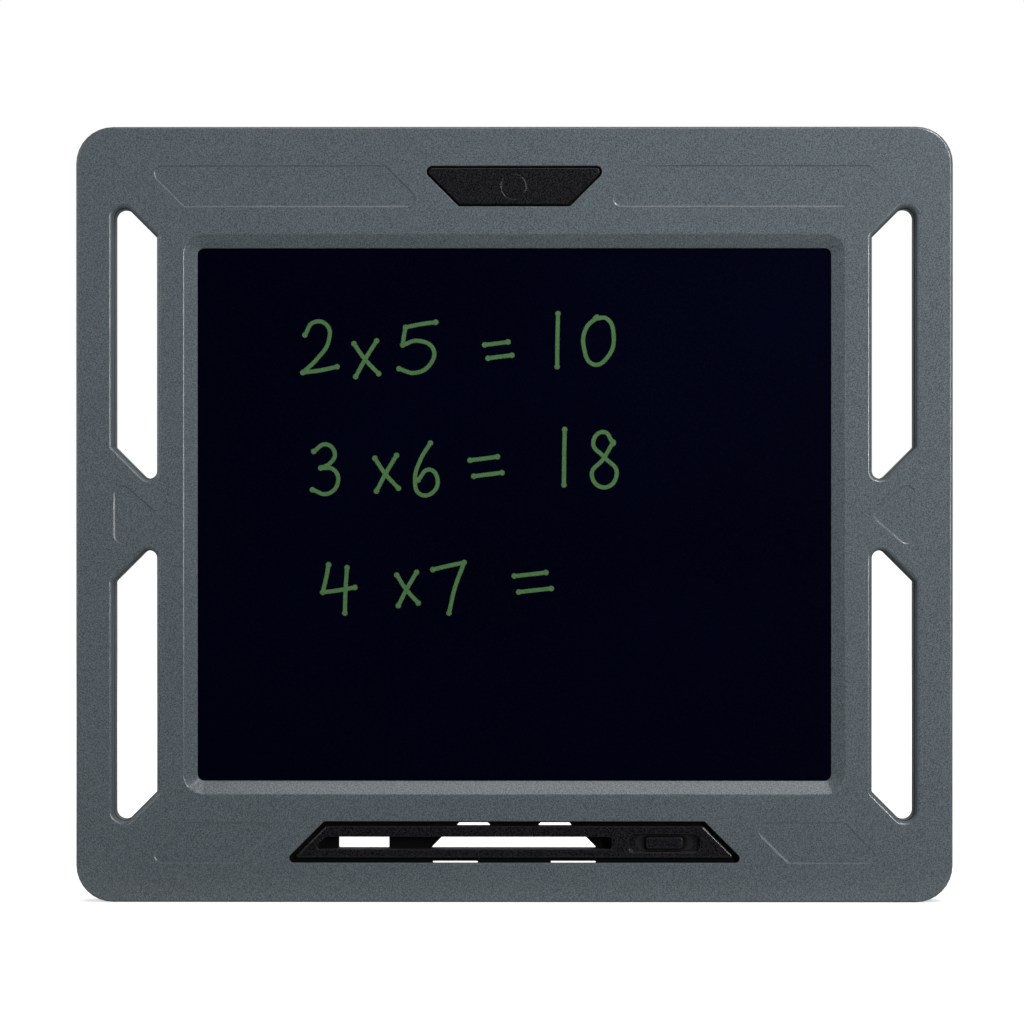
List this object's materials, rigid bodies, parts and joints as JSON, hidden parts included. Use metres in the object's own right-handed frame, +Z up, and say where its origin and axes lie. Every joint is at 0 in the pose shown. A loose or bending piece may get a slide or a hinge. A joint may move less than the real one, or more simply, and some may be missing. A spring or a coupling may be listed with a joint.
{
  "type": "lcd writing tablet",
  "caption": "Handheld LCD writing tablet in a grey case with hand slots round its sides, a black erase key above the dark writing film and a black stylus dock below it.",
  "frame": {"origin": "centre of the bounding box at the lower edge that the tablet stands on", "axes": "+X to the right as seen from the front, +Y from the front towards the back, +Z up"},
  "size_m": [0.355, 0.0144, 0.314],
  "materials": {
    "grey_case": "moulded grey ABS with a fine grain",
    "black_trim": "moulded black ABS with a fine grain",
    "writing_film": "dark blue-black liquid crystal film, satin gloss",
    "adhesive_tape": "double-sided tape",
    "backing_sheet": "white polystyrene sheet",
    "board_laminate": "green glass-fibre laminate",
    "black_epoxy": "black moulding compound",
    "ivory_nylon": "ivory nylon",
    "tan_ceramic": "tan ceramic",
    "dark_ferrite": "dark ferrite",
    "amber_polyimide": "amber polyimide film",
    "plated_steel": "zinc-plated or stainless steel",
    "spring_metal": "nickelled phosphor bronze",
    "black_rubber": "soft black rubber"
  },
  "bodies": {
    "case": {"backing_plate": "backing_sheet", "battery_clip_positive": "spring_metal", "battery_leaf_negative": "spring_metal", "board_screw_1": "plated_steel", "board_screw_2": "plated_steel", "boost_inductor": "dark_ferrite", "capacitor_1": "tan_ceramic", "capacitor_2": "tan_ceramic", "case_screw_01": "plated_steel", "case_screw_02": "plated_steel", "case_screw_03": "plated_steel", "case_screw_04": "plated_steel", "case_screw_05": "plated_steel", "case_screw_06": "plated_steel", "case_screw_07": "plated_steel", "case_screw_08": "plated_steel", "case_screw_09": "plated_steel", "case_screw_10": "plated_steel", "circuit_board": "board_laminate", "coin_cell": "plated_steel", "driver_chip": "black_epoxy", "erase_switch_body": "black_epoxy", "flex_connector": "ivory_nylon", "front_frame": "grey_case", "panel_flex_tail": "amber_polyimide", "panel_tape": "adhesive_tape", "rear_cover": "grey_case", "rubber_foot_1": "black_rubber", "rubber_foot_2": "black_rubber", "rubber_foot_3": "black_rubber", "rubber_foot_4": "black_rubber", "stylus_dock": "black_trim", "writing_panel": "writing_film"},
    "erase_key": {"erase_button": "black_trim"},
    "switch_plunger": {"erase_switch_plunger": "ivory_nylon"},
    "cell_door": {"battery_door": "grey_case", "battery_door_screw": "plated_steel"}
  },
  "joints": [
    {"name": "erase_key_press", "type": "slide", "parent": "case", "child": "erase_key", "axis": [0, 1, 0], "range_m": [0, 0.0006], "stiffness_N_per_m": 1500},
    {"name": "switch_plunger_press", "type": "slide", "parent": "case", "child": "switch_plunger", "axis": [0, 1, 0], "range_m": [0, 0.0006]},
    {"name": "cell_door_lift", "type": "slide", "parent": "case", "child": "cell_door", "axis": [0, 1, 0], "range_m": [0, 0.03]}
  ],
  "couplings": [
    {"joint": "switch_plunger_press", "follows": "erase_key_press", "ratio": 1}
  ]
}
